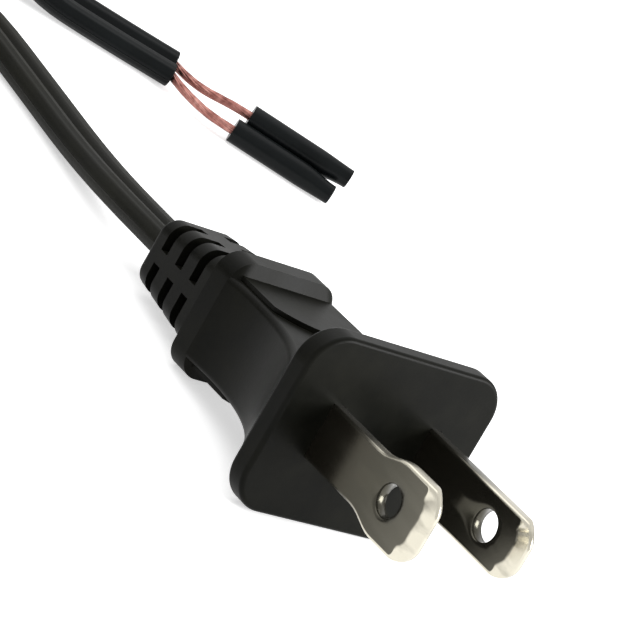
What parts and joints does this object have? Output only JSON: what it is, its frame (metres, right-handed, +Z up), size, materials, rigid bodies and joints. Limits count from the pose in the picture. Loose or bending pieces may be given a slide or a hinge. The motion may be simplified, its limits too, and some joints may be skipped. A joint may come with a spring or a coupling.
{
  "type": "type a plug",
  "caption": "Polarised flat-blade mains plug in a moulded cover with finger hollows, collar and slotted strain relief, on a flat twin cord with a stripped end",
  "frame": {"origin": "bottom centre of the plug, without its free cord, on the table it lies on", "axes": "+X across the two blades towards the narrow one, +Y from the blades' tips towards the cord, +Z up; the plug leans back as it lies, resting on its flange and collar"},
  "size_m": [0.1433, 0.1305, 0.019],
  "materials": {
    "cover_vinyl": "semi-gloss moulded vinyl",
    "carrier_plastic": "plain moulded",
    "blade_metal": "nickel plated brass, bright",
    "copper": "bunched bare copper strands",
    "cord_vinyl": "soft vinyl, semi-gloss",
    "tie_plastic": "flat strap"
  },
  "bodies": {
    "root": {"plug_cover": "cover_vinyl", "blade_carrier": "carrier_plastic", "neutral_blade": "blade_metal", "line_blade": "blade_metal", "neutral_core": "copper", "line_core": "copper", "cord_root": "cord_vinyl", "cord_lead": "cord_vinyl", "cord_coil": "cord_vinyl", "coil_tie": "tie_plastic", "cord_tail": "cord_vinyl", "neutral_tail_strands": "copper", "line_tail_strands": "copper", "end_sleeve": "cord_vinyl"}
  },
  "joints": []
}
